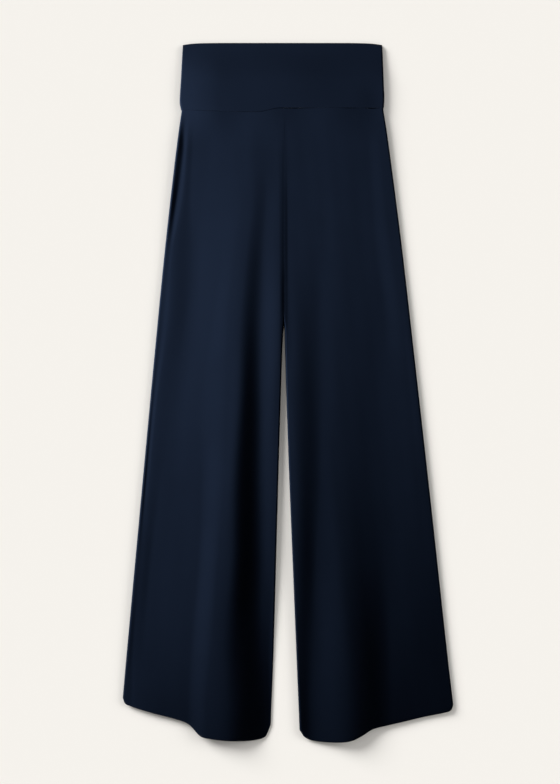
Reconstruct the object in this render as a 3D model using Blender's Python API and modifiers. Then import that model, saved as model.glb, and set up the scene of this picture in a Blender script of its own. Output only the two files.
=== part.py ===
"""Palazzo pants of navy jersey, laid flat, as the separate pieces that are sewn together.

Metres, +Z up. The pants lie face up on the plane Z = 0, with the waistband at +Y and the
hems at -Y, and +X is the wearer's left. A station is a distance down the pants from the
folded top edge of the waistband. A reach is a distance out from the centre seam.
"""

import math
from typing import NamedTuple

import bmesh
import bpy

# Cloth
CLOTH = 0.0012  # one layer of jersey
GAP = 0.0003  # between sewn pieces, and between layers that lie on each other
FOLD_AIR = 0.0006  # between the two layers of the folded waistband

# The pants laid flat
LENGTH = 1.085  # from the top edge to the lowest point of the hems
CENTRE_X = -0.0070  # the centre seam, from the middle of the hems' spread
RISE = 0.425  # station of the crotch
BAND_HEIGHT = 0.1035

# How the cloth stands up from the floor
BAND_PLY = 2 * CLOTH + FOLD_AIR  # a folded waistband piece
BAND_LOFT = 0.0055  # the front of the waistband, above its own side seams
BAND_CORNER = 0.011  # the top edge curves down over this much at each end
BAND_CORNER_DROP = 0.0035
LEG_REST = CLOTH + GAP  # underside of a front leg where it lies on the back leg
SIDE_ROUND = 0.012  # the front turns down to its side seam over this much
SEAM_ROUND = 0.008  # and down to the centre seam over this much
SEAM_HEIGHT = 0.0045  # underside of the front legs along the top of the centre seam
END_CROWD = 0.8  # how much facets crowd towards the edges, 0 to 1
JOIN_BLEND = 0.035  # below the waistband the front leg settles over this much
INSEAM_BLEND = 0.03  # below the crotch the seam becomes a free edge over this much
SEAM_TURN = 0.0006  # room for the wall, which leans over the centre seam
EDGE_TURN = 0.0009  # and leans further out over a free edge
BACK_INSET = 0.0008  # the back's sides, inside the front's
BACK_HEM_RISE = 0.004  # the back's hem, above the front's

# Facets
FRONT_COLUMNS, FRONT_ROWS = 22, 38
BACK_COLUMNS, BACK_ROWS = 14, 20
BAND_FRONT_COLUMNS, BAND_BACK_COLUMNS = 16, 8
BAND_LAYER_ROWS, BAND_FOLD_ROWS = 4, 5

NAVY = (0.012, 0.018, 0.035, 1.0)
NAVY_BAND = (0.013, 0.019, 0.035, 1.0)


class Edge(NamedTuple):
    """The outline at one station, as a reach to each side."""

    station: float
    right: float
    left: float


class Hem(NamedTuple):
    """The hem at one place across a leg, from the inseam (0) to the side seam (1)."""

    across: float
    right: float
    left: float


class Fold(NamedTuple):
    """A ridge or a trough of a front leg: its reach and its height at four stations."""

    waist: float
    hip: float
    knee: float
    hem: float
    waist_height: float
    hip_height: float
    knee_height: float
    hem_height: float


BAND_SIDES = (
    Edge(0.0, 0.1566, 0.1519),
    Edge(0.05, 0.1588, 0.1537),
    Edge(0.1035, 0.1612, 0.1557),
)
LEG_SIDES = (
    Edge(0.1035, 0.1588, 0.1543),
    Edge(0.135, 0.1628, 0.1597),
    Edge(0.197, 0.1705, 0.1674),
    Edge(0.321, 0.1845, 0.1840),
    Edge(0.476, 0.2000, 0.2015),
    Edge(0.708, 0.2217, 0.2279),
    Edge(0.941, 0.2430, 0.2527),
    Edge(1.030, 0.2503, 0.2635),
)
INSEAMS = (
    Edge(0.425, GAP / 2, GAP / 2),
    Edge(0.445, 0.0012, 0.0006),
    Edge(0.476, 0.0031, 0.0012),
    Edge(0.647, 0.0088, 0.0072),
    Edge(0.863, 0.0150, 0.0155),
    Edge(1.070, 0.0217, 0.0240),
)
HEMS = (
    Hem(0.00, 1.0571, 1.0618),
    Hem(0.03, 1.0742, 1.0757),
    Hem(0.10, 1.0803, 1.0819),
    Hem(0.24, 1.0819, 1.0850),
    Hem(0.33, 1.0807, 1.0819),
    Hem(0.40, 1.0788, 1.0734),
    Hem(0.47, 1.0742, 1.0625),
    Hem(0.55, 1.0565, 1.0580),
    Hem(0.65, 1.0475, 1.0524),
    Hem(0.80, 1.0385, 1.0431),
    Hem(0.95, 1.0277, 1.0354),
    Hem(1.00, 1.0153, 1.0261),
)

FOLD_STATIONS = (0.1035, 0.321, 0.631, 1.003)
RIGHT_FOLDS = (
    Fold(0.012, 0.0100, 0.0135, 0.0250, 0.0080, 0.0070, 0.0085, 0.0034),
    Fold(0.028, 0.0295, 0.0345, 0.0320, 0.0078, 0.0060, 0.0062, 0.0034),
    Fold(0.052, 0.0590, 0.0760, 0.0890, 0.0080, 0.0090, 0.0156, 0.0189),
    Fold(0.080, 0.0990, 0.1300, 0.1480, 0.0078, 0.0068, 0.0078, 0.0080),
    Fold(0.130, 0.1420, 0.1800, 0.2140, 0.0072, 0.0044, 0.0051, 0.0060),
    Fold(0.148, 0.1720, 0.2040, 0.2330, 0.0074, 0.0058, 0.0058, 0.0050),
)
LEFT_FOLDS = (
    Fold(0.010, 0.0140, 0.0180, 0.0260, 0.0078, 0.0056, 0.0104, 0.0070),
    Fold(0.050, 0.0600, 0.0585, 0.0360, 0.0076, 0.0050, 0.0060, 0.0057),
    Fold(0.076, 0.0790, 0.0790, 0.1025, 0.0076, 0.0052, 0.0066, 0.0166),
    Fold(0.126, 0.1400, 0.1530, 0.1665, 0.0072, 0.0043, 0.0040, 0.0055),
    Fold(0.142, 0.1670, 0.2010, 0.2210, 0.0072, 0.0057, 0.0059, 0.0046),
)


def ease(t):
    """0 to 1 with level ends."""
    return 0.5 - 0.5 * math.cos(math.pi * min(max(t, 0.0), 1.0))


def roll(t):
    """0 to 1, steep at first and level at the end, as cloth turns over an edge."""
    return math.sin(math.pi / 2 * min(max(t, 0.0), 1.0))


def mix(a, b, t):
    return a + (b - a) * t


def through(places, values, at):
    """A smooth curve through values at places, held level past both ends."""
    if at <= places[0]:
        return values[0]
    if at >= places[-1]:
        return values[-1]
    i = max(k for k in range(len(places) - 1) if places[k] <= at)
    width = places[i + 1] - places[i]
    t = (at - places[i]) / width

    def slope(k):
        if k in (0, len(places) - 1):
            j = min(k, len(places) - 2)
            return (values[j + 1] - values[j]) / (places[j + 1] - places[j])
        return (values[k + 1] - values[k - 1]) / (places[k + 1] - places[k - 1])

    rise = values[i + 1] - values[i]
    start, end = slope(i) * width, slope(i + 1) * width
    return values[i] + t * (start + t * (3 * rise - 2 * start - end + t * (start + end - 2 * rise)))


def column(rows, name):
    return [getattr(row, name) for row in rows]


def reach_at(edges, side, station):
    return through(column(edges, "station"), column(edges, side), station)


def band_height(reach, side_reach):
    """Underside of the front waistband: it lies on the back one at its side seams."""
    return BAND_PLY + GAP + BAND_LOFT * roll((side_reach - reach) / SIDE_ROUND)


def fold_height(folds, reach, station):
    """Height of the front leg over its folds, level past the first and the last."""
    lines = []
    for fold in folds:
        lines.append(
            (
                through(FOLD_STATIONS, fold[:4], station),
                through(FOLD_STATIONS, fold[4:], station),
            )
        )
    if reach <= lines[0][0]:
        return lines[0][1]
    for (near, low), (far, high) in zip(lines, lines[1:]):
        if reach <= far:
            return mix(low, high, ease((reach - near) / (far - near)))
    return lines[-1][1]


def below_crotch(station):
    """0 on the centre seam, 1 where the inseam is a free edge."""
    return ease((station - RISE) / INSEAM_BLEND)


def leg_point(side, across, down, hem_rise=0.0, inset=0.0):
    """Station and reach of a point of a leg panel, from shares of its width and length."""
    hem = through(column(HEMS, "across"), column(HEMS, side), across) - hem_rise
    station = mix(BAND_HEIGHT + GAP, hem, down)
    turn = mix(SEAM_TURN, EDGE_TURN, below_crotch(station))
    inner = reach_at(INSEAMS, side, station) + turn
    outer = reach_at(LEG_SIDES, side, station) - EDGE_TURN - inset
    return station, mix(inner, outer, across), inner, outer


def front_leg_height(side, station, reach, inner, outer):
    """Underside of a front leg panel."""
    folds = RIGHT_FOLDS if side == "right" else LEFT_FOLDS
    height = fold_height(folds, reach, station)
    free = below_crotch(station)
    seam = mix(SEAM_HEIGHT, LEG_REST, ease(station / RISE))
    inward = (reach - inner) / mix(SEAM_ROUND, SIDE_ROUND, free)
    height = mix(seam, height, mix(ease(inward), roll(inward), free))
    height = mix(LEG_REST, height, roll((outer - reach) / SIDE_ROUND))
    joined = band_height(reach, outer) + (BAND_PLY - CLOTH) / 2
    return mix(joined, height, ease((station - BAND_HEIGHT) / JOIN_BLEND))


def place(side, station, reach, height):
    """World position. The wearer's right is at -X."""
    away = reach if side == "left" else -reach
    return CENTRE_X + away, LENGTH / 2 - station, height


def spread_share(t):
    """Shares that crowd towards both ends, where cloth turns over its edges."""
    return mix(t, ease(t), END_CROWD)


def new_sheet(name, columns, rows, position, thickness_side, material, collection):
    """A grid of cloth, each point put where position(across, down) says, made a wall."""
    mesh = bpy.data.meshes.new(name)
    work = bmesh.new()
    bmesh.ops.create_grid(work, x_segments=columns, y_segments=rows, size=0.5)
    for vertex in work.verts:
        vertex.co = position(vertex.co.x + 0.5, vertex.co.y + 0.5)
    work.normal_update()
    top = max(work.faces, key=lambda face: face.calc_center_median().z)
    if top.normal.z < 0:
        bmesh.ops.reverse_faces(work, faces=work.faces)
    work.to_mesh(mesh)
    work.free()
    mesh.shade_smooth()
    mesh.materials.append(material)
    piece = bpy.data.objects.new(name, mesh)
    collection.objects.link(piece)
    wall = piece.modifiers.new("Wall", "SOLIDIFY")
    wall.thickness = CLOTH
    wall.offset = thickness_side
    wall.use_even_offset = False
    return piece


def make_front_leg(side, material, collection):
    def position(across, down):
        station, reach, inner, outer = leg_point(side, spread_share(across), down)
        height = front_leg_height(side, station, reach, inner, outer)
        return place(side, station, reach, height)

    name = f"front_leg_{side}"
    new_sheet(name, FRONT_COLUMNS, FRONT_ROWS, position, 1.0, material, collection)


def make_back_leg(side, material, collection):
    def position(across, down):
        share = spread_share(across)
        station, reach, _, _ = leg_point(side, share, down, BACK_HEM_RISE, BACK_INSET)
        return place(side, station, reach, 0.0)

    name = f"back_leg_{side}"
    new_sheet(name, BACK_COLUMNS, BACK_ROWS, position, 1.0, material, collection)


def make_band(name, columns, lowest, loft, material, collection):
    """A strip folded lengthwise at the top edge: an under layer, the fold and an upper one."""
    radius = (CLOTH + FOLD_AIR) / 2
    rows = 2 * BAND_LAYER_ROWS + BAND_FOLD_ROWS

    def section(down):
        """Height above the band's foot as a share of its flat part, and the fold's turn."""
        row = round(down * rows)
        if row <= BAND_LAYER_ROWS:
            return row / BAND_LAYER_ROWS, 0.0
        if row < BAND_LAYER_ROWS + BAND_FOLD_ROWS:
            return 1.0, math.pi * (row - BAND_LAYER_ROWS) / BAND_FOLD_ROWS
        return (rows - row) / BAND_LAYER_ROWS, math.pi

    def position(across, down):
        climb, turn = section(down)
        share = spread_share(across)
        side = "left" if share >= 0.5 else "right"
        # The flat part ends where the fold's outer face would meet the top edge.
        station = mix(BAND_HEIGHT, radius + CLOTH / 2, climb)
        left = reach_at(BAND_SIDES, "left", station)
        right = reach_at(BAND_SIDES, "right", station)
        offset = mix(-right, left, share)
        from_side = min(left - offset, offset + right)
        drop = BAND_CORNER_DROP * max(0.0, 1 - from_side / BAND_CORNER) ** 2
        station += drop * climb - radius * math.sin(turn)
        side_reach = left if side == "left" else right
        height = lowest + loft * roll((side_reach - abs(offset)) / SIDE_ROUND)
        height += CLOTH / 2 + radius * (1 - math.cos(turn))
        return CENTRE_X + offset, LENGTH / 2 - station, height

    new_sheet(name, columns, rows, position, 0.0, material, collection)


def jersey(name, colour):
    material = bpy.data.materials.new(name)
    material.use_nodes = True
    shader = material.node_tree.nodes["Principled BSDF"]
    shader.inputs["Base Color"].default_value = colour
    shader.inputs["Roughness"].default_value = 0.85
    shader.inputs["Metallic"].default_value = 0.0
    return material


def build():
    for item in list(bpy.data.objects):
        bpy.data.objects.remove(item, do_unlink=True)
    pants = bpy.data.collections.new("palazzo_pants")
    bpy.context.scene.collection.children.link(pants)
    for side in ("right", "left"):
        make_front_leg(side, jersey(f"jersey_front_leg_{side}", NAVY), pants)
        make_back_leg(side, jersey(f"jersey_back_leg_{side}", NAVY), pants)
    front = jersey("jersey_waistband_front", NAVY_BAND)
    make_band("waistband_front", BAND_FRONT_COLUMNS, BAND_PLY + GAP, BAND_LOFT, front, pants)
    back = jersey("jersey_waistband_back", NAVY_BAND)
    make_band("waistband_back", BAND_BACK_COLUMNS, 0.0, 0.0, back, pants)


build()
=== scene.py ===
"""Palazzo pants of dark navy jersey, laid flat on a pale floor.

The pants lie face up with the waistband towards +Y, and +X is the wearer's left. A station
is a distance down the pants from the folded top edge of the waistband. A reach is a distance
out from the centre seam, and an offset is one with a sign, positive to the wearer's left.
All lengths are in metres.
"""

import math
from typing import NamedTuple

import bmesh
import bpy
import numpy as np
from bpy.props import FloatProperty, FloatVectorProperty, IntProperty, PointerProperty
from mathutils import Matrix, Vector


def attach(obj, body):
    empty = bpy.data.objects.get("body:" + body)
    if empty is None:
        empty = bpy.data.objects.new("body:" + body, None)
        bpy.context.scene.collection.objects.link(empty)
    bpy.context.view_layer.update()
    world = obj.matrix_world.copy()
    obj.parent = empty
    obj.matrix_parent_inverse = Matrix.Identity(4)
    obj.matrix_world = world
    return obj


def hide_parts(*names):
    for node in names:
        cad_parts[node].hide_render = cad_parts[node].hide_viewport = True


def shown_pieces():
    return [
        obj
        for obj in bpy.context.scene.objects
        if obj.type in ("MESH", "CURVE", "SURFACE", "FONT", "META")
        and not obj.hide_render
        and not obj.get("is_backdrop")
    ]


bl_info = {
    "name": "Palazzo Pants",
    "version": (1, 0, 0),
    "blender": (4, 5, 0),
    "location": "View3D > Sidebar > Palazzo Pants",
    "description": "Jersey palazzo pants laid flat, with a fold-over waistband and soft folds",
    "category": "Add Mesh",
}

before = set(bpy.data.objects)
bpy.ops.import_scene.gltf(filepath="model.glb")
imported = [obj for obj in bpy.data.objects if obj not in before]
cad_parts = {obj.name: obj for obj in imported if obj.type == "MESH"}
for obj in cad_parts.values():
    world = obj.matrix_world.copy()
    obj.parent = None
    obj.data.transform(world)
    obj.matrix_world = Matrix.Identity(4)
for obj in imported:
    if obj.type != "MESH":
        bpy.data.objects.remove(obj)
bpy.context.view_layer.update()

# Cloth
CLOTH = 0.0012  # one layer of jersey
GAP = 0.0003  # between sewn pieces, and between layers that lie on each other
FOLD_AIR = 0.0006  # between the two layers of the folded waistband

# The pants laid flat
LENGTH = 1.085  # from the top edge to the lowest point of the hems
CENTRE_X = -0.0070  # the centre seam, from the middle of the hems' spread
TOP_Y = LENGTH / 2
RISE = 0.425  # station of the crotch
BAND_HEIGHT = 0.1007  # station of the waistband's foot on the wearer's left

# How the front of the waistband stands above where it would lie flat
BAND_PLY = 2 * CLOTH + FOLD_AIR  # a folded waistband piece
BAND_LIFT = 0.0022  # just in from its side seams
BAND_LIFT_ROUND = 0.0013  # it turns down to them over this much
BAND_LOFT = 0.0051  # added further in from the wearer's right side
BAND_LOFT_ROUND = 0.060  # over this much
BAND_FALL = 0.0024  # taken off again towards the left
BAND_FALL_START = -0.10  # from this offset
BAND_FALL_WIDTH = 0.26  # over this much
BAND_TOP_SHARE = 0.05  # share of these heights that is left at the top edge
BAND_TOP_BLEND = 0.058  # it grows to all of them over this much
BAND_TOP_ROUND = 0.0042  # and the edge itself turns down over this much
DENT = 0.0009  # the depth of a dent near the foot of the left side seam
DENT_OFFSET, DENT_STATION = 0.144, 0.088
DENT_WIDTH, DENT_LENGTH = 0.022, 0.026
BAND_SWELL = 0.0004  # slow waves, in radians a metre
SWELL_ACROSS, SWELL_DOWN = 38.0, 30.0
SWELL_SHIFT = 1.0

# How the waistband's outline departs from a plain strip
BAND_CORNER = 0.014  # the top edge curves down over about this much at each end
BAND_CORNER_DROP = 0.0035  # by this much
BAND_SAG = 0.0062  # the foot hangs lower on the wearer's right
BAND_SAG_START = 0.004  # from this far out
BAND_SAG_WIDTH = 0.038  # over this much
SAG_KEPT = 0.6  # share of the sag that is left at the side seam
SAG_RETURN_START = 0.05  # this far out from where the sag starts, it gets less
SAG_RETURN_WIDTH = 0.10  # over this much

# How the legs meet the waistband, each other and the floor
LEG_REST = CLOTH + GAP  # underside of a front leg where it lies on the back leg
SIDE_ROUND = 0.0008  # the front turns down to its free edges over this much
JOIN_BLEND = 0.070  # below the waistband the front leg takes on its own height over this much
JOIN_STEP = 0.00032  # it starts this much lower than the face of the waistband
JOIN_SWING = 0.00048  # give or take this, in a slow wave
JOIN_WAVE = 0.100  # the length of that wave
JOIN_WAVE_START = 0.028  # offset of its deepest step
SEAM_GAP = 0.0002  # the least width of the front waistband seam
HIP_SWELL = 0.0032  # what the hips add to the folds just below the waistband
HIP_SWELL_END = 0.36  # station where they add nothing more
INSEAM_BLEND = 0.024  # below the crotch the seam becomes a free edge over this much
GROOVE = 0.00014  # the dip along the centre seam
GROOVE_WIDTH = 0.0020
GROOVE_BLEND = 0.10  # it deepens over this much below the waistband
SEAM_TURN = -GAP / 2  # the legs meet along the centre seam
EDGE_TURN = 0.0009  # room for the wall, which leans out over a free edge
END_CROWD = 0.8  # how much facets crowd towards the edges, 0 to 1
HEM_LIP = 0.0010  # the narrow hem turns under by this much
HEM_LIP_WIDTH = 0.0045

# The slow waver of the folds, and the small gathers under the waistband
DRIFT = 0.00009
FINE_DRIFT = 0.00004
PUCKER = 0.00016
PUCKER_LENGTH = 0.016  # they fade out over about this much
PUCKER_WAVE = 420.0  # the gathers, in radians a metre
PUCKER_BEND, PUCKER_BEND_WAVE = 2.0, 70.0  # how uneven their spacing is
PUCKER_SIZE_WAVE = 95.0  # how uneven their size is
SEEDS = {"right": 0.7, "left": 2.1}

# The back legs, inside the front's and with shallow folds under them
BACK_INSET = 0.0008
BACK_HEM_RISE = 0.004
BACK_AIR = 0.0025  # left between a fold and the front
BACK_FOLD_WIDTH = 0.011
BACK_FOLD_SLANT = 0.10  # how fast a fold moves out, for each metre down
BACK_FOLD_RISE = 0.25  # it rises over this much
BACK_FOLD_MOST = 0.6  # share of the room under the front

# Facets and stitches
BAND_LAYER_ROWS, BAND_FOLD_ROWS = 28, 12
BAND_FRONT_COLUMNS, BAND_BACK_COLUMNS = 110, 60
HEM_ROWS = 2
HEM_ROW_POINTS = 200
HEM_ROW_START, HEM_ROW_END = 0.035, 0.97  # shares of the way from the inseam to the side
BEAD_SEGMENTS, BEAD_RINGS = 8, 5
LEVEL = 1e-9  # slopes that add up to less than this are level

# Finish
DYE_SPREAD = 0.06  # how much lighter or darker the dye gets
WAVE_RADIANS = 20.0  # a wave texture turns by this much in each unit

# The stage
FLOOR_SIZE = 40.0
WORLD_LIGHT = (1.0, 0.98, 0.95, 1.0)
WORLD_STRENGTH = 0.03
BACKDROP = (0.923, 0.896, 0.839, 1.0)
SLANT_FROM = (-0.76, 0.66, 0.50)
FILL_FROM = (0.85, 0.25, 0.50)
SLANT_SPREAD = 32.0  # in degrees, as the other spreads and the cones are
SKY_FROM = (-0.2, 0.15, 1.0)
SKY_SPREAD = 140.0
KEY_PLACE, KEY_AIM = (-1.73, 0.28, 0.46), (-0.17, 0.90, 0.0)
KEY_CONE = 82.0
LOW_PLACE, LOW_AIM = (-0.99, -0.24, 0.32), (-0.46, -0.16, 0.0)
LOW_CONE = 84.0
LAMP_SIZE = 0.14  # radius of the cloth's lamps
VIEW_X, VIEW_Y = -0.0132, 0.0015
VIEW_LEVEL = 0.005  # the height at which the view has its set length


class Edge(NamedTuple):
    """The outline at one station, as a reach to the wearer's right and left."""

    station: float
    right: float
    left: float


class Hem(NamedTuple):
    """The hem's station at one place across a leg, from the inseam (0) to the side (1)."""

    across: float
    right: float
    left: float


class Ditch(NamedTuple):
    """A stretch of the waistband's seam that pulls open: where, how long and how wide."""

    offset: float
    length: float
    gap: float


class At(NamedTuple):
    """One place on the line of a ridge or trough: how far out and how high it is there."""

    station: float
    reach: float
    height: float


class Ripple(NamedTuple):
    """A wave in the cloth: radians a metre down and across, and how far the seed shifts it."""

    down: float
    across: float
    shift: float


class Spread(NamedTuple):
    """Places on a leg panel, each with the panel's two edges at its station and its hem."""

    station: np.ndarray
    reach: np.ndarray
    inner: np.ndarray
    outer: np.ndarray
    hem: np.ndarray


BAND_SIDES = (
    Edge(0.0, 0.1566, 0.1519),
    Edge(0.05, 0.1590, 0.1537),
    Edge(0.085, 0.1611, 0.1550),
    Edge(0.094, 0.1607, 0.1547),
    Edge(0.1035, 0.1588, 0.1537),
)
LEG_SIDES = (
    Edge(0.1035, 0.1582, 0.1538),
    Edge(0.135, 0.1628, 0.1589),
    Edge(0.197, 0.1706, 0.1674),
    Edge(0.321, 0.1845, 0.1832),
    Edge(0.476, 0.1998, 0.2009),
    Edge(0.708, 0.2216, 0.2270),
    Edge(0.941, 0.2432, 0.2524),
    Edge(1.030, 0.2511, 0.2627),
)
INSEAMS = (
    Edge(0.425, GAP / 2, GAP / 2),
    Edge(0.445, 0.0014, 0.0012),
    Edge(0.476, 0.0030, 0.0018),
    Edge(0.647, 0.0082, 0.0074),
    Edge(0.863, 0.0141, 0.0161),
    Edge(1.070, 0.0201, 0.0246),
)
HEMS = (
    Hem(0.00, 1.0571, 1.0650),
    Hem(0.03, 1.0735, 1.0757),
    Hem(0.10, 1.0796, 1.0816),
    Hem(0.24, 1.0807, 1.0833),
    Hem(0.33, 1.0795, 1.0808),
    Hem(0.40, 1.0775, 1.0733),
    Hem(0.47, 1.0736, 1.0632),
    Hem(0.55, 1.0557, 1.0584),
    Hem(0.65, 1.0469, 1.0532),
    Hem(0.80, 1.0380, 1.0447),
    Hem(0.95, 1.0273, 1.0374),
    Hem(0.985, 1.0231, 1.0340),
    Hem(1.00, 1.0146, 1.0256),
)
# Where the front waistband seam pulls open
DITCHES = (
    Ditch(-0.120, 0.024, 0.0003),
    Ditch(-0.052, 0.026, 0.0004),
    Ditch(0.014, 0.030, 0.0012),
    Ditch(0.103, 0.012, 0.0009),
    Ditch(0.137, 0.010, 0.0014),
)
# The lines of each front leg's ridges and troughs, in order out from the centre seam
SEAM_LINE = (
    At(0.098, 0.0, 0.0055),
    At(0.181, 0.0, 0.0058),
    At(0.243, 0.0, 0.0061),
    At(0.321, 0.0, 0.0066),
    At(0.430, 0.0, 0.0089),
)
RIGHT_FOLDS = {
    "seam": SEAM_LINE,
    "seam_ridge": (
        At(0.098, 0.0120, 0.0056),
        At(0.181, 0.0100, 0.0062),
        At(0.243, 0.0085, 0.0067),
        At(0.321, 0.0078, 0.0074),
        At(0.430, 0.0072, 0.0098),
        At(0.553, 0.0120, 0.0091),
        At(0.677, 0.0150, 0.0080),
        At(0.801, 0.0210, 0.0068),
        At(0.925, 0.0220, 0.0027),
        At(1.018, 0.0205, 0.0016),
        At(1.075, 0.0230, 0.0015),
    ),
    "thigh_trough": (
        At(0.098, 0.0280, 0.0054),
        At(0.181, 0.0260, 0.0063),
        At(0.243, 0.0260, 0.0065),
        At(0.321, 0.0310, 0.0067),
        At(0.430, 0.0350, 0.0071),
        At(0.553, 0.0365, 0.0072),
        At(0.677, 0.0370, 0.0058),
        At(0.801, 0.0350, 0.0058),
        At(0.925, 0.0330, 0.0036),
        At(1.018, 0.0265, 0.0026),
        At(1.075, 0.0275, 0.0022),
    ),
    "front_crest": (
        At(0.098, 0.0520, 0.0056),
        At(0.181, 0.0500, 0.0068),
        At(0.243, 0.0500, 0.0079),
        At(0.321, 0.0580, 0.0093),
        At(0.430, 0.0680, 0.0116),
        At(0.553, 0.0715, 0.0144),
        At(0.677, 0.0790, 0.0160),
        At(0.801, 0.0825, 0.0182),
        At(0.925, 0.0930, 0.0185),
        At(1.018, 0.0880, 0.0190),
        At(1.075, 0.0880, 0.0192),
    ),
    "crest_shoulder": (
        At(0.098, 0.0640, 0.0055),
        At(0.181, 0.0640, 0.0066),
        At(0.243, 0.0640, 0.0077),
        At(0.321, 0.0740, 0.0089),
        At(0.430, 0.0860, 0.0108),
        At(0.553, 0.0870, 0.0132),
        At(0.677, 0.0915, 0.0148),
        At(0.801, 0.1020, 0.0168),
        At(0.925, 0.1110, 0.0172),
        At(1.018, 0.1200, 0.0158),
        At(1.075, 0.1200, 0.0158),
    ),
    "crest_flank": (
        At(0.098, 0.0800, 0.0052),
        At(0.181, 0.0880, 0.0058),
        At(0.243, 0.0910, 0.0064),
        At(0.321, 0.0990, 0.0070),
        At(0.430, 0.1120, 0.0074),
        At(0.553, 0.1300, 0.0078),
        At(0.677, 0.1300, 0.0075),
        At(0.801, 0.1330, 0.0084),
        At(0.925, 0.1440, 0.0082),
        At(1.018, 0.1490, 0.0086),
        At(1.075, 0.1490, 0.0086),
    ),
    "side_hollow": (
        At(0.098, 0.1380, 0.0048),
        At(0.166, 0.1410, 0.0046),
        At(0.243, 0.1440, 0.0044),
        At(0.321, 0.1410, 0.0042),
        At(0.430, 0.1500, 0.0046),
        At(0.553, 0.1680, 0.0053),
        At(0.677, 0.1890, 0.0050),
        At(0.801, 0.2046, 0.0050),
        At(0.925, 0.2140, 0.0052),
        At(1.018, 0.2140, 0.0074),
        At(1.075, 0.2160, 0.0074),
    ),
    "side_ridge": (
        At(0.098, 0.1450, 0.0050),
        At(0.135, 0.1480, 0.0050),
        At(0.166, 0.1500, 0.0050),
        At(0.243, 0.1570, 0.0050),
        At(0.321, 0.1720, 0.0058),
        At(0.430, 0.1790, 0.0064),
        At(0.553, 0.1960, 0.0060),
        At(0.677, 0.2080, 0.0056),
        At(0.801, 0.2170, 0.0060),
        At(0.925, 0.2280, 0.0058),
        At(1.018, 0.2310, 0.0066),
        At(1.075, 0.2330, 0.0066),
    ),
    "side_trough": (
        At(0.098, 0.1500, 0.0048),
        At(0.135, 0.1540, 0.0044),
        At(0.166, 0.1555, 0.0044),
        At(0.205, 0.1600, 0.0043),
        At(0.243, 0.1660, 0.0042),
        At(0.285, 0.1720, 0.0048),
        At(0.321, 0.1770, 0.0056),
        At(0.430, 0.1880, 0.0060),
        At(0.553, 0.2020, 0.0054),
        At(0.677, 0.2130, 0.0052),
        At(0.801, 0.2230, 0.0064),
        At(0.925, 0.2330, 0.0060),
        At(1.018, 0.2370, 0.0060),
        At(1.075, 0.2400, 0.0058),
    ),
    "side_edge": (
        At(0.098, 0.1588, 0.0070),
        At(0.135, 0.1628, 0.0072),
        At(0.166, 0.1668, 0.0066),
        At(0.205, 0.1712, 0.0064),
        At(0.243, 0.1755, 0.0063),
        At(0.285, 0.1803, 0.0061),
        At(0.321, 0.1842, 0.0059),
        At(0.430, 0.1950, 0.0062),
        At(0.553, 0.2070, 0.0058),
        At(0.677, 0.2180, 0.0062),
        At(0.801, 0.2290, 0.0069),
        At(0.925, 0.2405, 0.0070),
        At(1.018, 0.2470, 0.0058),
        At(1.075, 0.2510, 0.0056),
    ),
}
LEFT_FOLDS = {
    "seam": SEAM_LINE,
    "seam_foot": (
        At(0.098, 0.0040, 0.0052),
        At(0.181, 0.0045, 0.0054),
        At(0.243, 0.0060, 0.0053),
        At(0.321, 0.0065, 0.0056),
        At(0.430, 0.0070, 0.0080),
        At(0.553, 0.0070, 0.0098),
    ),
    "inner_ridge": (
        At(0.098, 0.0120, 0.0052),
        At(0.243, 0.0150, 0.0052),
        At(0.321, 0.0160, 0.0055),
        At(0.430, 0.0155, 0.0079),
        At(0.553, 0.0150, 0.0100),
        At(0.677, 0.0200, 0.0106),
        At(0.801, 0.0190, 0.0109),
        At(0.925, 0.0200, 0.0090),
        At(1.018, 0.0215, 0.0082),
        At(1.075, 0.0235, 0.0080),
    ),
    "inner_trough": (
        At(0.098, 0.0500, 0.0049),
        At(0.243, 0.0560, 0.0046),
        At(0.321, 0.0600, 0.0046),
        At(0.430, 0.0570, 0.0053),
        At(0.553, 0.0600, 0.0057),
        At(0.677, 0.0570, 0.0062),
        At(0.801, 0.0510, 0.0064),
        At(0.925, 0.0450, 0.0059),
        At(1.018, 0.0410, 0.0053),
        At(1.075, 0.0420, 0.0052),
    ),
    "front_crest": (
        At(0.098, 0.0760, 0.0049),
        At(0.321, 0.0790, 0.0049),
        At(0.430, 0.0800, 0.0055),
        At(0.553, 0.0790, 0.0060),
        At(0.677, 0.0790, 0.0068),
        At(0.801, 0.0900, 0.0094),
        At(0.925, 0.0990, 0.0150),
        At(1.018, 0.1030, 0.0168),
        At(1.075, 0.1040, 0.0170),
    ),
    "shin_trough": (
        At(0.098, 0.1280, 0.0047),
        At(0.243, 0.1350, 0.0043),
        At(0.321, 0.1400, 0.0041),
        At(0.430, 0.1550, 0.0041),
        At(0.553, 0.1500, 0.0040),
        At(0.677, 0.1550, 0.0038),
        At(0.801, 0.1610, 0.0036),
        At(0.925, 0.1650, 0.0050),
        At(1.018, 0.1670, 0.0062),
        At(1.075, 0.1680, 0.0062),
    ),
    "side_ridge": (
        At(0.098, 0.1460, 0.0050),
        At(0.243, 0.1570, 0.0052),
        At(0.321, 0.1670, 0.0056),
        At(0.430, 0.1830, 0.0058),
        At(0.553, 0.1950, 0.0058),
        At(0.677, 0.2050, 0.0060),
        At(0.801, 0.2150, 0.0056),
        At(0.925, 0.2100, 0.0062),
        At(1.018, 0.2230, 0.0054),
        At(1.075, 0.2260, 0.0054),
    ),
    "side_edge": (
        At(0.098, 0.1520, 0.0052),
        At(0.243, 0.1720, 0.0054),
        At(0.430, 0.1920, 0.0062),
        At(0.677, 0.2210, 0.0066),
        At(0.801, 0.2330, 0.0062),
        At(0.925, 0.2460, 0.0060),
        At(1.018, 0.2480, 0.0058),
        At(1.075, 0.2560, 0.0056),
    ),
}
FOLDS = {"right": RIGHT_FOLDS, "left": LEFT_FOLDS}
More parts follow.
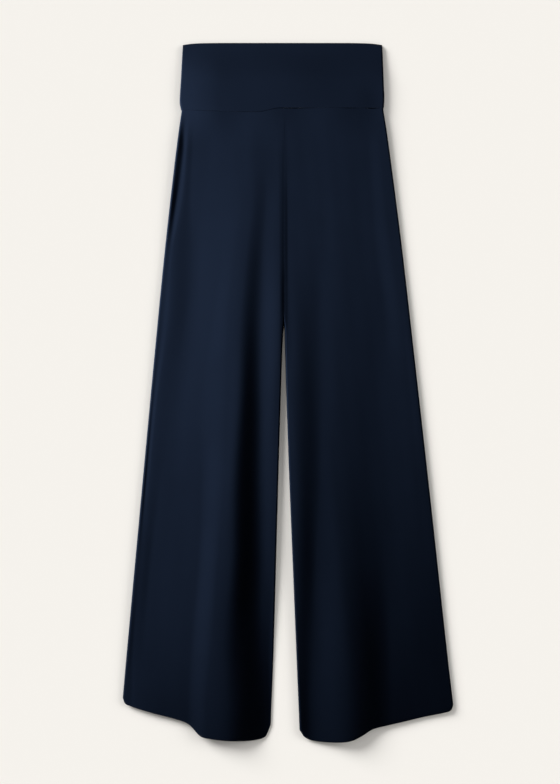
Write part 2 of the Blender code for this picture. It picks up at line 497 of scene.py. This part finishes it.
# Shallow folds that the back legs keep, as a share of the room under the front
BACK_FOLDS = (
    At(0.30, 0.055, 0.30),
    At(0.48, 0.120, 0.38),
    At(0.62, 0.175, 0.26),
)
# Pairs of waves that are multiplied together
DRIFT_WAVES = (Ripple(31.0, 47.0, 1.0), Ripple(-19.0, 83.0, 2.0))
FINE_WAVES = (Ripple(67.0, -150.0, 3.0), Ripple(41.0, 95.0, 0.0))


class PantsSizes(bpy.types.PropertyGroup):
    """Sizes of the cloth's finish and how finely the legs are made."""

    wale: FloatProperty(
        name="Wale",
        description="Width of one column of knit loops",
        default=0.0011,
        unit="LENGTH",
    )
    stitch_length: FloatProperty(
        name="Stitch length",
        description="Length of one hem stitch",
        default=0.0026,
        unit="LENGTH",
    )
    stitch_pitch: FloatProperty(
        name="Stitch pitch",
        description="From the start of one hem stitch to the next",
        default=0.0034,
        unit="LENGTH",
    )
    stitch_width: FloatProperty(
        name="Stitch width",
        description="Width of the thread of one hem stitch",
        default=0.0005,
        unit="LENGTH",
    )
    hem_depth: FloatProperty(
        name="Hem depth",
        description="From a hem's edge up to the lower row of stitches",
        default=0.018,
        unit="LENGTH",
    )
    row_gap: FloatProperty(
        name="Row gap",
        description="Between the two rows of hem stitches",
        default=0.004,
        unit="LENGTH",
    )
    leg_columns: IntProperty(
        name="Leg columns", description="Facets across a front leg", default=120
    )
    leg_rows: IntProperty(
        name="Leg rows", description="Facets down a front leg", default=240
    )


class PantsColours(bpy.types.PropertyGroup):
    """Colours of the cloth, the thread and the floor."""

    navy: FloatVectorProperty(
        name="Navy",
        description="Colour of the jersey",
        subtype="COLOR",
        size=4,
        default=(0.0079, 0.0145, 0.0318, 1.0),
    )
    thread: FloatVectorProperty(
        name="Thread",
        description="Colour of the sewing thread",
        subtype="COLOR",
        size=4,
        default=(0.0088, 0.0158, 0.0340, 1.0),
    )
    floor: FloatVectorProperty(
        name="Floor",
        description="Colour of the floor",
        subtype="COLOR",
        size=4,
        default=(0.80, 0.776, 0.735, 1.0),
    )


class StageSettings(bpy.types.PropertyGroup):
    """The camera and the lights."""

    lens: FloatProperty(
        name="Lens",
        description="Focal length of the camera",
        default=150.0,
        subtype="DISTANCE_CAMERA",
    )
    view_height: FloatProperty(
        name="View height",
        description="Length of floor that the view takes in",
        default=1.2152,
        unit="LENGTH",
    )
    key_power: FloatProperty(
        name="Key power", description="Power of the cloth's high light in watts", default=320.0
    )
    low_power: FloatProperty(
        name="Low power", description="Power of the cloth's low light in watts", default=51.0
    )
    floor_sun: FloatProperty(
        name="Floor sun", description="Strength of the floor's slanting light", default=4.15
    )
    floor_sky: FloatProperty(
        name="Floor sky", description="Strength of the floor's overhead light", default=1.16
    )
    floor_fill: FloatProperty(
        name="Floor fill",
        description="Strength of the floor's light from the other side",
        default=1.1,
    )


def ease(t):
    """0 to 1 with level ends."""
    return 0.5 - 0.5 * np.cos(np.pi * np.clip(t, 0.0, 1.0))


def roll(t):
    """0 to 1, steep at first and level at the end, as cloth turns over an edge."""
    return np.sin(np.pi / 2 * np.clip(t, 0.0, 1.0))


def mound(t):
    """1 in the middle, and next to nothing past 2 on either side."""
    return np.exp(-(t**2))


def mix(a, b, t):
    return a + (b - a) * t


def crowd(t):
    """Shares that crowd towards both ends, where cloth turns over its edges."""
    return mix(t, ease(t), END_CROWD)


def curve(t, low, rise, start, end):
    """Up from low by rise as t goes from 0 to 1, with the slopes start and end."""
    return low + t * (start + t * (3 * rise - 2 * start - end + t * (start + end - 2 * rise)))


def through(places, values, at):
    """A smooth curve through values at places, held level past both ends."""
    places, values = np.asarray(places, float), np.asarray(values, float)
    at = np.clip(at, places[0], places[-1])
    i = np.clip(np.searchsorted(places, at, side="right") - 1, 0, len(places) - 2)
    slopes = np.empty(len(places))
    slopes[1:-1] = (values[2:] - values[:-2]) / (places[2:] - places[:-2])
    slopes[0] = (values[1] - values[0]) / (places[1] - places[0])
    slopes[-1] = (values[-1] - values[-2]) / (places[-1] - places[-2])
    width = (places[1:] - places[:-1])[i]
    t = (at - places[i]) / width
    rise = values[i + 1] - values[i]
    return curve(t, values[i], rise, slopes[i] * width, slopes[i + 1] * width)


def column(rows, name):
    return [getattr(row, name) for row in rows]


def reach_at(edges, side, station):
    return through(column(edges, "station"), column(edges, side), station)


def sag(offset):
    """The waistband's foot hangs lower on the wearer's right than on the left."""
    over = -offset - BAND_SAG_START
    kept = mix(1.0, SAG_KEPT, ease((over - SAG_RETURN_START) / SAG_RETURN_WIDTH))
    return BAND_SAG * ease(over / BAND_SAG_WIDTH) * kept


def band_rise(offset, station):
    """How far the front of the waistband stands above where it would lie flat."""
    right = offset + reach_at(BAND_SIDES, "right", station)
    left = reach_at(BAND_SIDES, "left", station) - offset
    lift = BAND_LIFT * roll(right / BAND_LIFT_ROUND) * roll(left / BAND_LIFT_ROUND)
    loft = BAND_LOFT * roll(right / BAND_LOFT_ROUND)
    fall = BAND_FALL * ease((offset - BAND_FALL_START) / BAND_FALL_WIDTH)
    share = mix(BAND_TOP_SHARE, 1.0, ease(station / BAND_TOP_BLEND))
    share = share * roll((station + CLOTH) / BAND_TOP_ROUND)
    dent = DENT * mound((offset - DENT_OFFSET) / DENT_WIDTH)
    dent = dent * mound((station - DENT_STATION) / DENT_LENGTH)
    swell = BAND_SWELL * np.sin(SWELL_ACROSS * offset + SWELL_SHIFT) * np.sin(SWELL_DOWN * station)
    return share * (lift + (loft - fall + swell - dent) * roll(left / BAND_LIFT_ROUND))


def fold_lines(folds, station):
    """Where each line is at the stations, and how high."""
    reaches, heights = [], []
    for rows in folds.values():
        stations = column(rows, "station")
        reaches.append(through(stations, column(rows, "reach"), station))
        heights.append(through(stations, column(rows, "height"), station))
    return reaches, heights


def fold_height(folds, reach, station):
    """Height over a leg's folds: a curve through its lines that turns only at them."""
    out, high = fold_lines(folds, station)
    steps = [
        (b - a) / (far - near) for a, b, near, far in zip(high, high[1:], out, out[1:])
    ]
    level = np.zeros_like(station)
    slopes = [steps[0]]
    for before, after in zip(steps, steps[1:]):
        both = before * after
        mean = 2 * both / np.where(np.abs(before + after) < LEVEL, 1.0, before + after)
        slopes.append(np.where(both > 0, mean, level))
    slopes.append(level)
    height = np.where(reach <= out[0], high[0], high[-1])
    for i in range(len(steps)):
        width = out[i + 1] - out[i]
        t = np.clip((reach - out[i]) / width, 0.0, 1.0)
        rise = high[i + 1] - high[i]
        between = curve(t, high[i], rise, slopes[i] * width, slopes[i + 1] * width)
        height = np.where((reach > out[i]) & (reach <= out[i + 1]), between, height)
    return height


def below_crotch(station):
    """0 on the centre seam, 1 where the inseam is a free edge."""
    return ease((station - RISE) / INSEAM_BLEND)


def ditch_gap(offset):
    """How much wider than its least the front waistband seam is."""
    return sum(ditch.gap * mound((offset - ditch.offset) / ditch.length) for ditch in DITCHES)


def leg_points(side, across, down, hem_rise=0.0, inset=0.0, open_seam=1.0):
    """Where a leg panel's points are, at shares of its width and length.

    hem_rise and inset take it in at the hem and the side, and open_seam is the share of the
    waistband seam's ditches that it has.
    """
    hem = through(column(HEMS, "across"), column(HEMS, side), across) - hem_rise
    top_reach = across * reach_at(LEG_SIDES, side, BAND_HEIGHT)
    offset = top_reach if side == "left" else -top_reach
    top = BAND_HEIGHT + SEAM_GAP + open_seam * ditch_gap(offset) + sag(offset)
    station = mix(top, hem, crowd(down))
    inner = reach_at(INSEAMS, side, station)
    inner = inner + mix(SEAM_TURN, EDGE_TURN, below_crotch(station))
    outer = reach_at(LEG_SIDES, side, station) - EDGE_TURN - inset
    return Spread(station, mix(inner, outer, across), inner, outer, hem)


def ripples(waves, reach, station, seed):
    """The waves multiplied together, between -1 and 1."""
    height = 1.0
    for wave in waves:
        height = height * np.sin(wave.down * station + wave.across * reach + wave.shift * seed)
    return height


def drift(reach, station, seed):
    """Slow uneven waver of the folds, about a tenth of a millimetre high."""
    fine = ripples(FINE_WAVES, reach, station, seed)
    return DRIFT * ripples(DRIFT_WAVES, reach, station, seed) + FINE_DRIFT * fine


def pucker(reach, station, seed):
    """Small gathers that the waistband seam leaves in the cloth below it."""
    near = mound((station - BAND_HEIGHT) / PUCKER_LENGTH)
    bend = PUCKER_BEND * np.sin(PUCKER_BEND_WAVE * reach + seed)
    gathers = np.sin(PUCKER_WAVE * reach + bend) * np.sin(PUCKER_SIZE_WAVE * reach + seed)
    return PUCKER * near * gathers


def joined_height(side, spread):
    """Underside of a front leg if it all lay as high as it does at the waistband's seam."""
    away = spread.reach if side == "left" else -spread.reach
    narrower = reach_at(LEG_SIDES, side, BAND_HEIGHT) / reach_at(LEG_SIDES, side, spread.station)
    at_foot = band_rise(away * narrower, np.full_like(away, BAND_HEIGHT))
    turn = 2 * math.pi * (away - JOIN_WAVE_START) / JOIN_WAVE
    step = JOIN_STEP + JOIN_SWING * np.cos(turn)
    return BAND_PLY + GAP + at_foot + BAND_PLY - CLOTH - step


def front_leg_height(side, spread):
    """Underside of a front leg panel."""
    station, reach, inner, outer, hem = spread
    below_band = station - BAND_HEIGHT
    swell = HIP_SWELL * (1 - ease(below_band / (HIP_SWELL_END - BAND_HEIGHT)))
    height = fold_height(FOLDS[side], reach, station) + swell
    height = height + drift(reach, station, SEEDS[side]) + pucker(reach, station, SEEDS[side])
    height = mix(joined_height(side, spread), height, ease(below_band / JOIN_BLEND))
    free = below_crotch(station)
    groove = GROOVE * mound(reach / GROOVE_WIDTH) * ease(below_band / GROOVE_BLEND)
    height = height - groove * (1 - free)
    inward = roll((reach - inner) / SIDE_ROUND)
    height = mix(height, mix(LEG_REST, height, inward), free)
    height = mix(LEG_REST, height, roll((outer - reach) / SIDE_ROUND))
    lip = 1 - np.clip((hem - station) / HEM_LIP_WIDTH, 0.0, 1.0)
    return np.maximum(height - HEM_LIP * lip**2, LEG_REST)


def back_leg_height(side, spread):
    """Underside of a back leg: flat on the floor, but for shallow folds under the front's."""
    room = np.maximum(front_leg_height(side, spread) - LEG_REST - BACK_AIR, 0.0)
    share = np.zeros_like(room)
    for fold in BACK_FOLDS:
        further = spread.station - fold.station
        line = fold.reach + BACK_FOLD_SLANT * further
        near = mound((spread.reach - line) / BACK_FOLD_WIDTH)
        share += fold.height * near * ease(further / BACK_FOLD_RISE)
    return np.minimum(share, BACK_FOLD_MOST) * room


def cloth_sheet(name, columns, rows, place, wall_side, material):
    """A grid of cloth, put where place(across, down) says, with a wall of one layer."""
    mesh = bpy.data.meshes.new(name)
    work = bmesh.new()
    bmesh.ops.create_grid(work, x_segments=columns, y_segments=rows, size=0.5)
    work.to_mesh(mesh)
    work.free()
    flat = np.empty(len(mesh.vertices) * 3)
    mesh.vertices.foreach_get("co", flat)
    flat = flat.reshape(-1, 3)
    points, lengthwise = place(flat[:, 0] + 0.5, flat[:, 1] + 0.5)
    mesh.vertices.foreach_set("co", points.ravel())
    mesh.update()
    knit = mesh.uv_layers.new(name="Knit")
    corners = np.empty(len(mesh.loops), dtype=int)
    mesh.loops.foreach_get("vertex_index", corners)
    knit.data.foreach_set("uv", lengthwise[corners].ravel())
    work = bmesh.new()
    work.from_mesh(mesh)
    work.normal_update()
    highest = max(work.faces, key=lambda face: face.calc_center_median().z)
    if highest.normal.z < 0:
        bmesh.ops.reverse_faces(work, faces=work.faces)
    for edge in work.edges:
        edge.smooth = not edge.is_boundary
    work.to_mesh(mesh)
    work.free()
    mesh.shade_smooth()
    mesh.materials.append(material)
    piece = bpy.data.objects.new(name, mesh)
    bpy.context.scene.collection.objects.link(piece)
    wall = piece.modifiers.new("Wall", "SOLIDIFY")
    wall.thickness = CLOTH
    wall.offset = wall_side
    wall.use_even_offset = False
    return piece


def to_world(side, station, reach, height):
    away = reach if side == "left" else -reach
    return np.stack([CENTRE_X + away, TOP_Y - station, height], axis=1)


def leg(layer, side, columns, rows, underside, material, **cut):
    """A front or back leg panel that stands as high as underside(side, spread) says."""

    def place(across, down):
        spread = leg_points(side, crowd(across), down, **cut)
        points = to_world(side, spread.station, spread.reach, underside(side, spread))
        return points, np.stack([spread.reach, spread.station], axis=1)

    return cloth_sheet(f"{layer}_leg_{side}_jersey", columns, rows, place, 1.0, material)


def waistband(name, columns, front, material):
    """A strip folded lengthwise at the top edge: an under layer, the fold and an upper one."""
    radius = (CLOTH + FOLD_AIR) / 2
    rows = 2 * BAND_LAYER_ROWS + BAND_FOLD_ROWS
    lowest = BAND_PLY + GAP if front else 0.0

    def place(across, down):
        row = np.rint(down * rows)
        climb = crowd(np.minimum(np.minimum(row, rows - row) / BAND_LAYER_ROWS, 1.0))
        turn = np.pi * np.clip((row - BAND_LAYER_ROWS) / BAND_FOLD_ROWS, 0.0, 1.0)
        station = mix(BAND_HEIGHT, radius + CLOTH / 2, climb)
        left = reach_at(BAND_SIDES, "left", station)
        right = reach_at(BAND_SIDES, "right", station)
        offset = mix(-right, left, crowd(across))
        from_side = np.minimum(left - offset, offset + right)
        drop = BAND_CORNER_DROP * np.exp(-from_side / BAND_CORNER)
        station = station + drop * climb - radius * np.sin(turn) + sag(offset) * (1 - climb)
        height = lowest + CLOTH / 2 + radius * (1 - np.cos(turn))
        if front:
            height = height + band_rise(offset, station)
        points = to_world("left", station, offset, height)
        return points, np.stack([offset, station], axis=1)

    return cloth_sheet(name, columns, rows, place, 0.0, material)


def jersey(name, colour, wale):
    """Fine jersey: columns of loops, a slight unevenness of dye and a soft matt sheen."""
    material = bpy.data.materials.new(name)
    material.use_nodes = True
    nodes, links = material.node_tree.nodes, material.node_tree.links
    shader = nodes["Principled BSDF"]
    shader.inputs["Roughness"].default_value = 0.92
    shader.inputs["Specular IOR Level"].default_value = 0.05
    shader.inputs["Sheen Weight"].default_value = 0.02
    shader.inputs["Sheen Roughness"].default_value = 0.45
    shader.inputs["Sheen Tint"].default_value = (0.55, 0.68, 1.0, 1.0)
    place = nodes.new("ShaderNodeTexCoord")
    knit = nodes.new("ShaderNodeUVMap")
    knit.uv_map = "Knit"

    dye = nodes.new("ShaderNodeTexNoise")
    dye.inputs["Scale"].default_value = 24.0
    dye.inputs["Detail"].default_value = 5.0
    links.new(place.outputs["Object"], dye.inputs["Vector"])
    shade = nodes.new("ShaderNodeMix")
    shade.data_type = "RGBA"
    shade.inputs["A"].default_value = [(1 - DYE_SPREAD) * c for c in colour[:3]] + [1.0]
    shade.inputs["B"].default_value = [(1 + DYE_SPREAD) * c for c in colour[:3]] + [1.0]
    links.new(dye.outputs["Fac"], shade.inputs["Factor"])
    links.new(shade.outputs["Result"], shader.inputs["Base Color"])

    loops = nodes.new("ShaderNodeTexWave")
    loops.bands_direction = "X"
    loops.inputs["Scale"].default_value = 2 * math.pi / (WAVE_RADIANS * wale)
    loops.inputs["Distortion"].default_value = 0.6
    loops.inputs["Detail Scale"].default_value = 3.0
    links.new(knit.outputs["UV"], loops.inputs["Vector"])
    emboss(material, loops, strength=0.12, depth=0.0002)
    return material


def thread(name, colour):
    """Sewing thread: a twist of fine yarn, a shade lighter than the jersey."""
    material = bpy.data.materials.new(name)
    material.use_nodes = True
    nodes, links = material.node_tree.nodes, material.node_tree.links
    shader = nodes["Principled BSDF"]
    shader.inputs["Base Color"].default_value = colour
    shader.inputs["Roughness"].default_value = 0.8
    shader.inputs["Specular IOR Level"].default_value = 0.1
    place = nodes.new("ShaderNodeTexCoord")
    twist = nodes.new("ShaderNodeTexNoise")
    twist.inputs["Scale"].default_value = 2500.0
    links.new(place.outputs["Object"], twist.inputs["Vector"])
    emboss(material, twist, strength=0.3, depth=0.0001)
    return material


def emboss(material, texture, strength, depth):
    """Raise the material's surface where the texture is light."""
    nodes, links = material.node_tree.nodes, material.node_tree.links
    raised = nodes.new("ShaderNodeBump")
    raised.inputs["Strength"].default_value = strength
    raised.inputs["Distance"].default_value = depth
    links.new(texture.outputs["Fac"], raised.inputs["Height"])
    links.new(raised.outputs["Normal"], nodes["Principled BSDF"].inputs["Normal"])


def stitch_tree():
    """Nodes that lay a stitch at every pitch along a line."""
    tree = bpy.data.node_groups.new("stitches", "GeometryNodeTree")
    sockets = tree.interface
    sockets.new_socket("Line", in_out="INPUT", socket_type="NodeSocketGeometry")
    for name in ("Pitch", "Length", "Width"):
        sockets.new_socket(name, in_out="INPUT", socket_type="NodeSocketFloat")
    sockets.new_socket("Thread", in_out="INPUT", socket_type="NodeSocketMaterial")
    sockets.new_socket("Stitches", in_out="OUTPUT", socket_type="NodeSocketGeometry")

    nodes, link = tree.nodes, tree.links.new
    given = nodes.new("NodeGroupInput")
    path = nodes.new("GeometryNodeMeshToCurve")
    spaced = nodes.new("GeometryNodeResampleCurve")
    spaced.mode = "LENGTH"
    bead = nodes.new("GeometryNodeMeshUVSphere")
    bead.inputs["Segments"].default_value = BEAD_SEGMENTS
    bead.inputs["Rings"].default_value = BEAD_RINGS
    bead.inputs["Radius"].default_value = 0.5  # a bead is one unit across before it is sized
    size = nodes.new("ShaderNodeCombineXYZ")
    along = nodes.new("GeometryNodeInputTangent")
    turn = nodes.new("FunctionNodeAlignRotationToVector")
    turn.axis = "X"
    placed = nodes.new("GeometryNodeInstanceOnPoints")
    real = nodes.new("GeometryNodeRealizeInstances")
    smooth = nodes.new("GeometryNodeSetShadeSmooth")
    finish = nodes.new("GeometryNodeSetMaterial")
    made = nodes.new("NodeGroupOutput")
    link(given.outputs["Line"], path.inputs["Mesh"])
    link(path.outputs["Curve"], spaced.inputs["Curve"])
    link(given.outputs["Pitch"], spaced.inputs["Length"])
    link(spaced.outputs["Curve"], placed.inputs["Points"])
    link(bead.outputs["Mesh"], placed.inputs["Instance"])
    link(given.outputs["Length"], size.inputs["X"])
    link(given.outputs["Width"], size.inputs["Y"])
    link(given.outputs["Width"], size.inputs["Z"])
    link(size.outputs["Vector"], placed.inputs["Scale"])
    link(along.outputs["Tangent"], turn.inputs["Vector"])
    link(turn.outputs["Rotation"], placed.inputs["Rotation"])
    link(placed.outputs["Instances"], real.inputs["Geometry"])
    link(real.outputs["Geometry"], smooth.inputs["Geometry"])
    link(smooth.outputs["Geometry"], finish.inputs["Geometry"])
    link(given.outputs["Thread"], finish.inputs["Material"])
    link(finish.outputs["Geometry"], made.inputs["Stitches"])
    return tree


def hem_row(side, above):
    """Points on top of a front leg along its hem, at a distance above the edge."""
    across = np.linspace(HEM_ROW_START, HEM_ROW_END, HEM_ROW_POINTS)
    spread = leg_points(side, across, np.ones_like(across))
    spread = spread._replace(station=spread.hem - above)
    height = front_leg_height(side, spread) + CLOTH
    return to_world(side, spread.station, spread.reach, height)


def sew(name, rows, values):
    """Stitches along rows of points, as one plain mesh."""
    line = bpy.data.meshes.new(name)
    count = len(rows[0])
    starts = [k * count + i for k in range(len(rows)) for i in range(count - 1)]
    line.from_pydata(np.concatenate(rows).tolist(), [(i, i + 1) for i in starts], [])
    piece = bpy.data.objects.new(name, line)
    bpy.context.scene.collection.objects.link(piece)
    tree = bpy.data.node_groups.get("stitches") or stitch_tree()
    stitches = piece.modifiers.new("Stitches", "NODES")
    stitches.node_group = tree
    for socket in tree.interface.items_tree:
        if socket.name in values:
            stitches[socket.identifier] = values[socket.name]
    evaluated = piece.evaluated_get(bpy.context.evaluated_depsgraph_get())
    plain = bpy.data.meshes.new_from_object(evaluated)
    piece.modifiers.remove(stitches)
    piece.data = plain
    bpy.data.meshes.remove(line)
    return piece


def pale_floor(colour):
    """A matt floor far wider than the view."""
    bpy.ops.mesh.primitive_plane_add(size=FLOOR_SIZE)
    floor = bpy.context.object
    floor.name = "floor"
    material = bpy.data.materials.new("pale_floor")
    material.use_nodes = True
    shader = material.node_tree.nodes["Principled BSDF"]
    shader.inputs["Base Color"].default_value = colour
    shader.inputs["Roughness"].default_value = 1.0
    shader.inputs["Specular IOR Level"].default_value = 0.0
    floor.data.materials.append(material)
    return floor


def studio_world():
    """A faint light from everywhere, and a backdrop as pale as the floor."""
    world = bpy.data.worlds.new("studio")
    world.use_nodes = True
    nodes, links = world.node_tree.nodes, world.node_tree.links
    light = nodes["Background"]
    light.inputs["Color"].default_value = WORLD_LIGHT
    light.inputs["Strength"].default_value = WORLD_STRENGTH
    seen = nodes.new("ShaderNodeBackground")
    seen.inputs["Color"].default_value = BACKDROP
    ray = nodes.new("ShaderNodeLightPath")
    choose = nodes.new("ShaderNodeMixShader")
    links.new(ray.outputs["Is Camera Ray"], choose.inputs["Fac"])
    links.new(light.outputs["Background"], choose.inputs[1])
    links.new(seen.outputs["Background"], choose.inputs[2])
    links.new(choose.outputs["Shader"], nodes["World Output"].inputs["Surface"])
    return world


def sun(name, strength, spread, direction):
    data = bpy.data.lights.new(name, "SUN")
    data.energy = strength
    data.angle = math.radians(spread)
    lamp = bpy.data.objects.new(name, data)
    lamp.rotation_euler = Vector(direction).to_track_quat("Z", "Y").to_euler()
    bpy.context.scene.collection.objects.link(lamp)
    return lamp


def spot(name, power, cone, location, target):
    data = bpy.data.lights.new(name, "SPOT")
    data.energy = power
    data.spot_size = math.radians(cone)
    data.spot_blend = 1.0
    data.shadow_soft_size = LAMP_SIZE
    lamp = bpy.data.objects.new(name, data)
    lamp.location = location
    aim = Vector(target) - lamp.location
    lamp.rotation_euler = aim.to_track_quat("-Z", "Y").to_euler()
    bpy.context.scene.collection.objects.link(lamp)
    return lamp


def light_only(name, lit, lamps):
    """The lamps light these objects and nothing else."""
    group = bpy.data.collections.new(name)
    for thing in lit:
        group.objects.link(thing)
    for lamp in lamps:
        lamp.light_linking.receiver_collection = group


def overhead_camera(lens, view_height):
    """A camera that looks straight down and takes in view_height of the pants' length."""
    data = bpy.data.cameras.new("camera")
    data.lens = lens
    camera = bpy.data.objects.new("camera", data)
    half = math.atan(data.sensor_width / 2 / data.lens)
    camera.location = (VIEW_X, VIEW_Y, view_height / 2 / math.tan(half) + VIEW_LEVEL)
    bpy.context.scene.collection.objects.link(camera)
    return camera


def settings():
    scene = bpy.context.scene
    return scene.pants_sizes, scene.pants_colours, scene.pants_stage


def jersey_material():
    sizes, colours, _ = settings()
    found = bpy.data.materials.get("navy_jersey")
    return found or jersey("navy_jersey", colours.navy[:], sizes.wale)


def own(piece, node):
    """The piece stands for its CAD node and rides on the one body."""
    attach(piece, "root")
    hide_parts(node)


class PANTS_OT_waistband(bpy.types.Operator):
    """Fold the front and back strips of the waistband and lay one on the other"""

    bl_idname = "pants.waistband"
    bl_label = "Waistband"

    def execute(self, context):
        material = jersey_material()
        front = waistband("waistband_front_jersey", BAND_FRONT_COLUMNS, True, material)
        back = waistband("waistband_back_jersey", BAND_BACK_COLUMNS, False, material)
        for piece, node in ((front, "waistband_front"), (back, "waistband_back")):
            own(piece, node)
        return {"FINISHED"}


class PANTS_OT_hem_stitches(bpy.types.Operator):
    """Sew the two rows of stitches that hold each front leg's hem"""

    bl_idname = "pants.hem_stitches"
    bl_label = "Hem stitches"

    def execute(self, context):
        sizes, colours, _ = settings()
        values = {
            "Pitch": sizes.stitch_pitch,
            "Length": sizes.stitch_length,
            "Width": sizes.stitch_width,
            "Thread": thread("navy_thread", colours.thread[:]),
        }
        heights = [sizes.hem_depth + k * sizes.row_gap for k in range(HEM_ROWS)]
        for side in ("right", "left"):
            rows = [hem_row(side, above) for above in heights]
            piece = sew(f"hem_stitches_{side}", rows, values)
            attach(piece, "root")
        return {"FINISHED"}


class PANTS_OT_front_legs(bpy.types.Operator):
    """Lay the front panel of each leg with its folds"""

    bl_idname = "pants.front_legs"
    bl_label = "Front legs"

    def execute(self, context):
        sizes, _, _ = settings()
        material = jersey_material()
        columns, rows = sizes.leg_columns, sizes.leg_rows
        for side in ("right", "left"):
            piece = leg("front", side, columns, rows, front_leg_height, material)
            own(piece, f"front_leg_{side}")
        return {"FINISHED"}


class PANTS_OT_back_legs(bpy.types.Operator):
    """Lay the back panel of each leg on the floor"""

    bl_idname = "pants.back_legs"
    bl_label = "Back legs"

    def execute(self, context):
        sizes, _, _ = settings()
        material = jersey_material()
        columns, rows = sizes.leg_columns // 2, sizes.leg_rows // 2
        cut = {"hem_rise": BACK_HEM_RISE, "inset": BACK_INSET, "open_seam": 0.0}
        for side in ("right", "left"):
            piece = leg("back", side, columns, rows, back_leg_height, material, **cut)
            own(piece, f"back_leg_{side}")
        return {"FINISHED"}


class PANTS_OT_stage(bpy.types.Operator):
    """Lay a pale floor, light it softly and look straight down on the pants"""

    bl_idname = "pants.stage"
    bl_label = "Stage"

    def execute(self, context):
        _, colours, stage = settings()
        scene = context.scene
        scene.view_settings.view_transform = "Standard"
        scene.world = studio_world()
        floor = pale_floor(colours.floor[:])
        floor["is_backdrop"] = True
        slant = sun("slanting_floor_light", stage.floor_sun, SLANT_SPREAD, SLANT_FROM)
        fill = sun("filling_floor_light", stage.floor_fill, SLANT_SPREAD, FILL_FROM)
        over = sun("overhead_floor_light", stage.floor_sky, SKY_SPREAD, SKY_FROM)
        light_only("lit_floor", [floor], (slant, fill, over))
        key = spot("key_light", stage.key_power, KEY_CONE, KEY_PLACE, KEY_AIM)
        low = spot("low_light", stage.low_power, LOW_CONE, LOW_PLACE, LOW_AIM)
        light_only("lit_cloth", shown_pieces(), (key, low))
        scene.camera = overhead_camera(stage.lens, stage.view_height)
        return {"FINISHED"}


class PANTS_PT_panel(bpy.types.Panel):
    """The pants' pieces, in the order that they are made"""

    bl_idname = "PANTS_PT_panel"
    bl_label = "Palazzo Pants"
    bl_space_type = "VIEW_3D"
    bl_region_type = "UI"
    bl_category = "Palazzo Pants"

    def draw(self, context):
        for step in STEPS:
            self.layout.operator(step.bl_idname)
        for group in settings():
            box = self.layout.box()
            for name in group.__annotations__:
                box.prop(group, name)


STEPS = (
    PANTS_OT_waistband,
    PANTS_OT_hem_stitches,
    PANTS_OT_front_legs,
    PANTS_OT_back_legs,
    PANTS_OT_stage,
)
CLASSES = (PantsSizes, PantsColours, StageSettings, *STEPS, PANTS_PT_panel)


def register():
    for cls in CLASSES:
        bpy.utils.register_class(cls)
    bpy.types.Scene.pants_sizes = PointerProperty(type=PantsSizes)
    bpy.types.Scene.pants_colours = PointerProperty(type=PantsColours)
    bpy.types.Scene.pants_stage = PointerProperty(type=StageSettings)


def unregister():
    del bpy.types.Scene.pants_sizes
    del bpy.types.Scene.pants_colours
    del bpy.types.Scene.pants_stage
    for cls in reversed(CLASSES):
        bpy.utils.unregister_class(cls)


def main():
    register()
    bpy.ops.pants.waistband()
    bpy.ops.pants.hem_stitches()
    bpy.ops.pants.front_legs()
    bpy.ops.pants.back_legs()
    bpy.ops.pants.stage()


if __name__ == "__main__":
    main()
